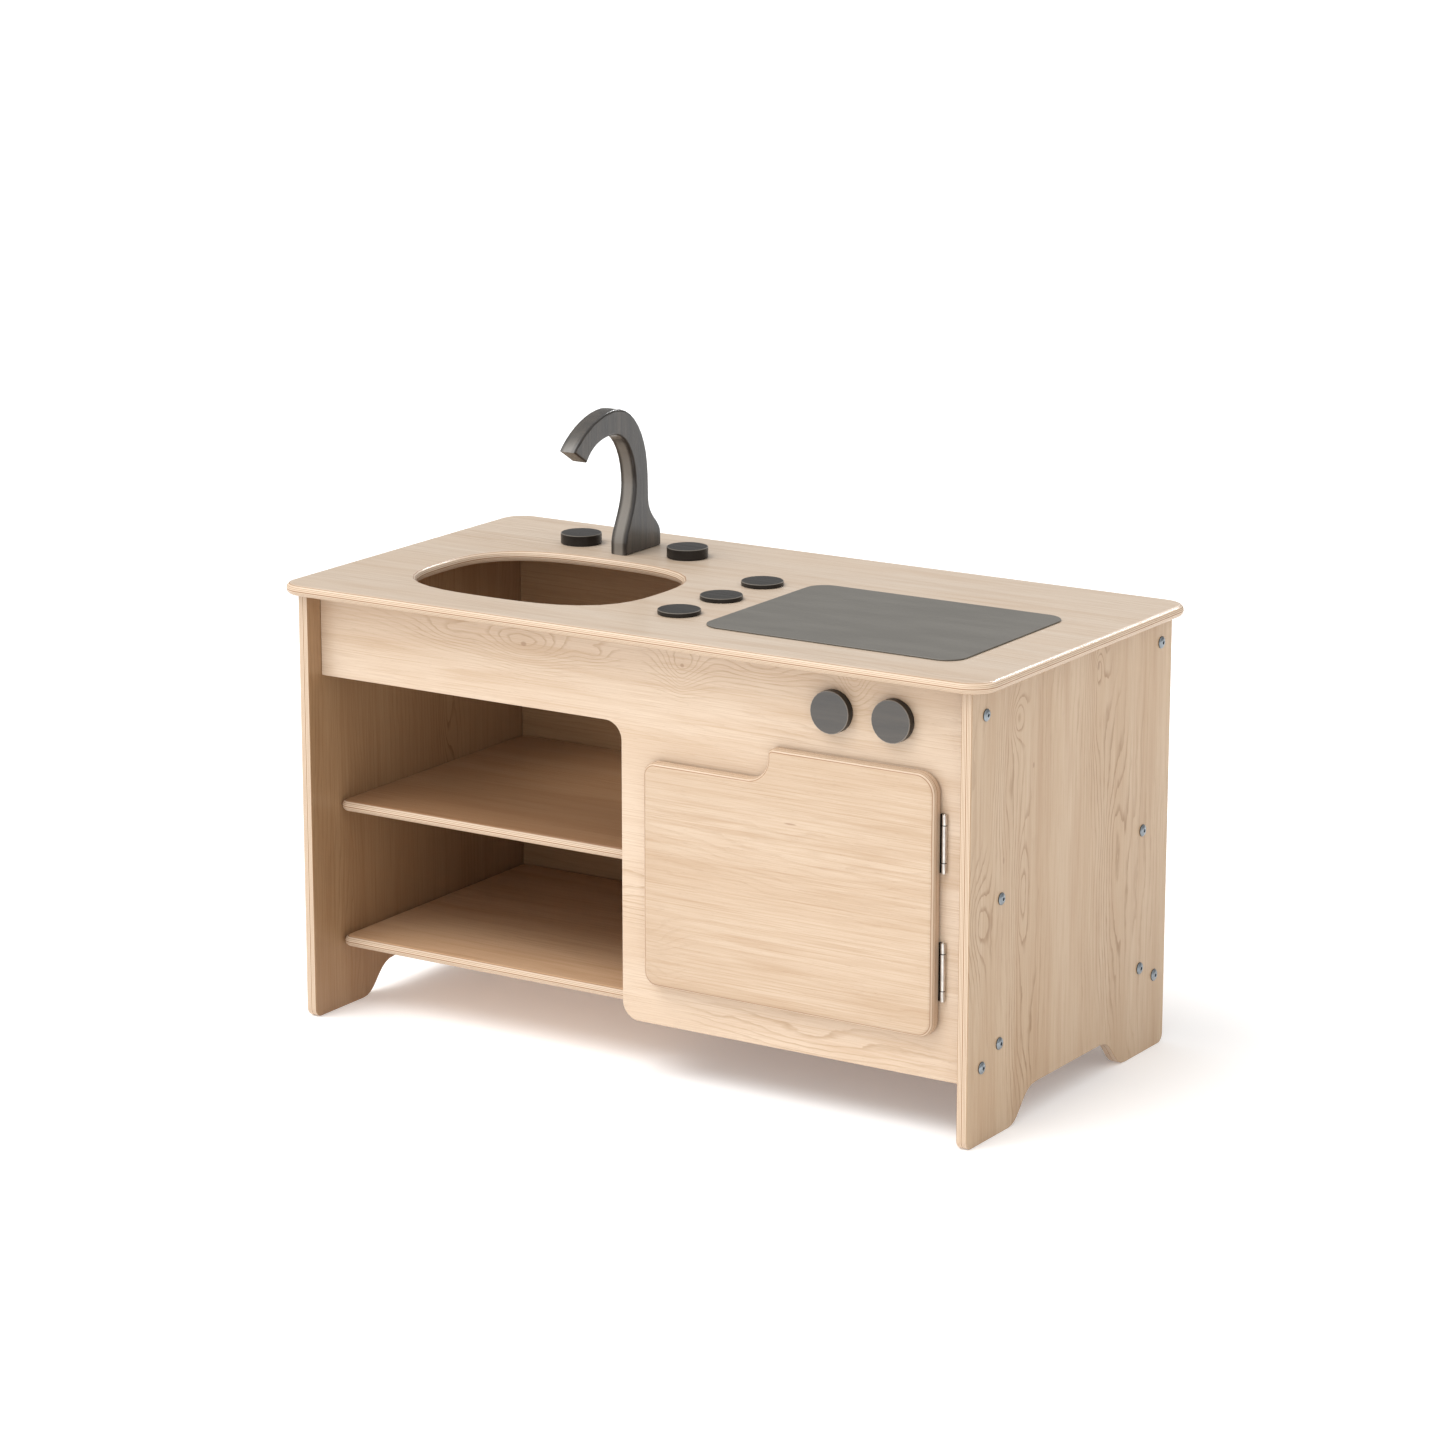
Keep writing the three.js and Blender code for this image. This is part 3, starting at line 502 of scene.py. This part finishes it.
RIGHT_KNOTS = [
    (0.4450, 0.0521, 0.020, 0.0100, 3.4),
    (0.3900, 0.0515, 0.060, 0.0180, 3.6),
    (0.4290, -0.1179, 0.020, 0.0140, 4.0),
    (0.2369, -0.1035, 0.075, 0.0150, 5.4),
    (0.2333, -0.1930, 0.040, 0.0220, 4.0),
    (0.2300, 0.0915, 0.100, 0.0240, 3.8),
    (0.1000, -0.1000, 0.060, 0.0200, 2.6),
    (0.3600, -0.1400, 0.050, 0.0160, 2.4),
]
RIGHT_PINS = [
    (0.4488, 0.0521, 0.0060, 0.0028),
    (0.3733, -0.0833, 0.0038, 0.0022),
    (0.2875, -0.1428, 0.0045, 0.0020),
]
DOOR_KNOTS = [
    (0.0300, 0.1600, 0.030, 0.0200, 3.0),
    (0.0476, 0.1209, 0.022, 0.0100, 2.0),
    (0.2000, 0.2700, 0.140, 0.0300, 2.6),
    (0.2972, 0.1305, 0.050, 0.0120, 1.2),
]
DOOR_PINS = [(0.2013, 0.3077, 0.0090, 0.0012)]
WORKTOP_KNOTS = [(-0.30, 0.10, 0.080, 0.020, 2.0)]
LEFT_KNOTS = [(0.30, 0.04, 0.070, 0.012, 3.2)]
BACK_KNOTS = [(0.15, 0.30, 0.060, 0.018, 3.0)]

# Painted shade multiplied into the faces that look into the cabinet
INNER_SHADE = (0.72, 0.62, 0.52, 1.0)
# The side of each outer panel's ply axis that looks into the cabinet and gets painted shade
INWARD = {"left_side": 1, "right_side": -1, "front_panel": 1, "back_panel": -1, "worktop": -1}

PANELS = {
    # node: ply axis, grain axis, tone, seed, ring spacing in mm, knots, pins, strength of the figure
    "worktop": ("z", "x", TOP_TONE, 1.3, 7.5, WORKTOP_KNOTS, [], 0.7),
    "front_panel": ("y", "x", FRONT_TONE, 2.9, 8.0, FRONT_KNOTS, FRONT_PINS, 0.60),
    "oven_door": ("y", "x", DOOR_TONE, 4.1, 9.0, DOOR_KNOTS, DOOR_PINS, 0.18),
    "right_side": ("x", "z", SIDE_TONE, 5.6, 9.0, RIGHT_KNOTS, RIGHT_PINS, 1.0),
    "left_side": ("x", "z", SIDE_TONE, 6.8, 6.5, LEFT_KNOTS, [], 0.9),
    "back_panel": ("y", "x", SIDE_TONE, 7.7, 8.0, BACK_KNOTS, [], 0.9),
    "divider": ("x", "z", INNER_TONE, 8.4, 7.0, [], [], 0.8),
    "lower_shelf": ("z", "x", LOWER_SHELF_TONE, 9.2, 7.5, [], [], 0.8),
    "upper_shelf": ("z", "x", UPPER_SHELF_TONE, 10.5, 7.0, [], [], 0.8),
    "oven_floor": ("z", "x", INNER_TONE, 11.1, 7.5, [], [], 0.8),
    "oven_rack": ("z", "x", INNER_TONE, 12.6, 7.5, [], [], 0.8),
}
for panel, settings in PANELS.items():
    finish_node(panel, ply_material(f"ply_{panel}", panel, *settings, INWARD.get(panel, 0)))

DARK_KNOBS = [n for n in NODES if "_knob_" in n and not n.endswith("_spindle")]
for index, knob in enumerate(sorted(DARK_KNOBS)):
    low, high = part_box(knob)
    # Knobs that face up take a darker copy of the stain than the oven knobs, as painted shade
    if knob.startswith("oven"):
        figure, shade, gloss, axis, face = 0.3, 1.0, 0.7, "y", low.y
    else:
        figure, shade, gloss, axis, face = 0.14, 0.62, 0.16, "z", high.z
    rim = partial(rim_highlight_and_side_shade, axis=axis, face=face, gloss=gloss)
    seed = 3.0 + 2.3 * index
    finish_node(knob, stained_wood(f"stained_{knob}", "x", seed, figure, shade, gloss, rim))
faucet_finish = stained_wood("stained_faucet", "z", seed=1.0, figure=1.0, shade=0.84, gloss=0.4,
                             painted_light_and_shade=front_highlight_and_corner_shade)
finish_node("faucet", faucet_finish)
finish_node("hob_plate", hob_finish())

pin_low, pin_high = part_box("upper_hinge_pin")
HINGE_AXIS = ((pin_low.x + pin_high.x) / 2, (pin_low.y + pin_high.y) / 2)
BARREL_RADIUS = 2.65 * MM
KNUCKLE_REACH = 19.4 * MM
KNUCKLE_SPLITS = []
for level in ("upper", "lower"):
    pin_low, pin_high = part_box(f"{level}_hinge_pin")
    middle = (pin_low.z + pin_high.z) / 2
    KNUCKLE_SPLITS += [middle - KNUCKLE_REACH, middle + KNUCKLE_REACH]
SCREW_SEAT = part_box("right_side")[1].x
ZINC = metal("zinc_screw", (150, 157, 162), 0.26, 2.0, painted_light_and_shade=painted_seat_shadow)
STEEL = metal("hinge_steel", (222, 218, 212), 0.2, 4.0, brushed="z")
LEAF_STEEL = metal("hinge_leaf_steel", (226, 222, 216), 0.34, 4.0, brushed="z",
                   painted_light_and_shade=knuckle_shadows)
BEECH = dowel_wood()
for name in NODES:
    if name.endswith("_leaf"):
        finish_node(name, LEAF_STEEL)
    elif "hinge" in name or name.endswith("_spindle"):
        finish_node(name, STEEL)
    elif "_side_screw_" in name:
        finish_node(name, ZINC)
    elif "_dowel_" in name:
        finish_node(name, BEECH)
for obj in NODES.values():
    smooth(obj)


# Studio: a white floor, a white dome, soft light from the front left, a shine from behind, and the camera

def floor_finish():
    """Matt white with a faint mottle, giving off a little light as a light table does."""
    constants = {"Roughness": 0.9, "Specular_IOR_Level": 0.1,
                 "Emission_Color": (1.0, 0.97, 0.96, 1.0), "Emission_Strength": 0.18}
    material, graph, shader = new_material("floor_white", **constants)
    mottle = graph.noise(graph.stretched(graph.object_place(), (3.0, 3.0, 3.0)), detail=2.0)
    white, whiter = (0.93, 0.93, 0.93, 1.0), (0.9393, 0.9393, 0.9393, 1.0)
    graph.put(shader.inputs["Base Color"], graph.mix(mottle, white, whiter))
    return material


def add_floor(half):
    """A floor so large that no horizon shows from low angles."""
    mesh = bpy.data.meshes.new("floor")
    corners = [(-half, -half, 0), (half, -half, 0), (half, half, 0), (-half, half, 0)]
    mesh.from_pydata(corners, [], [(0, 1, 2, 3)])
    floor = bpy.data.objects.new("floor", mesh)
    scene.collection.objects.link(floor)
    mesh.materials.append(floor_finish())


def add_sun(name, toward, power, spread, shine_only=False):
    """A distant softbox in the direction toward, spread degrees across, that lights the floor evenly.

    With shine_only it shows only in reflections, as the strip light behind a product shot does.
    """
    light = bpy.data.lights.new(name, "SUN")
    light.energy = power
    light.angle = math.radians(spread)
    obj = bpy.data.objects.new(name, light)
    obj.visible_diffuse = not shine_only
    obj.rotation_euler = (-Vector(toward)).to_track_quat("-Z", "Y").to_euler()
    scene.collection.objects.link(obj)


def add_world(toward, dim, bright):
    """A white studio dome, brighter in the direction toward."""
    world = bpy.data.worlds.new("studio")
    world.use_nodes = True
    graph = Graph(world.node_tree)
    background = world.node_tree.nodes["Background"]
    facing = graph.node("ShaderNodeVectorMath", operation="DOT_PRODUCT")
    graph.put(facing.inputs[0], graph.node("ShaderNodeTexCoord").outputs["Generated"])
    facing.inputs[1].default_value = Vector(toward).normalized()
    glow = graph.ramp(facing.outputs["Value"], -0.25, 0.95, dim, bright)
    background.inputs["Color"].default_value = (1.0, 1.0, 1.0, 1.0)
    graph.put(background.inputs["Strength"], glow)
    scene.world = world


SENSOR_WIDTH = 36.0


def add_camera(place, azimuth, elevation, focal_pixels, frame_pixels):
    """The camera fitted to the photograph, azimuth degrees round to the right of the front."""
    data = bpy.data.cameras.new("camera")
    data.sensor_width = SENSOR_WIDTH
    data.lens = SENSOR_WIDTH * focal_pixels / frame_pixels
    camera = bpy.data.objects.new("camera", data)
    a, e = math.radians(azimuth), math.radians(elevation)
    ahead = Vector((-math.sin(a) * math.cos(e), math.cos(a) * math.cos(e), -math.sin(e)))
    camera.location = place
    camera.rotation_euler = ahead.to_track_quat("-Z", "Y").to_euler()
    scene.collection.objects.link(camera)
    scene.camera = camera


add_floor(half=300.0)
add_world(toward=(0.0, -0.57, 0.82), dim=0.36, bright=1.22)
add_sun("key", toward=(-0.32, -0.42, 0.85), power=1.68, spread=42)
add_sun("edge_shine", toward=(-0.05, 0.82, 0.57), power=1.4, spread=14, shine_only=True)
add_camera(place=(2.57436, -4.04647, 1.55082), azimuth=32.5637, elevation=14.1297,
           focal_pixels=4624.65, frame_pixels=1445)
scene.view_settings.view_transform = "Standard"
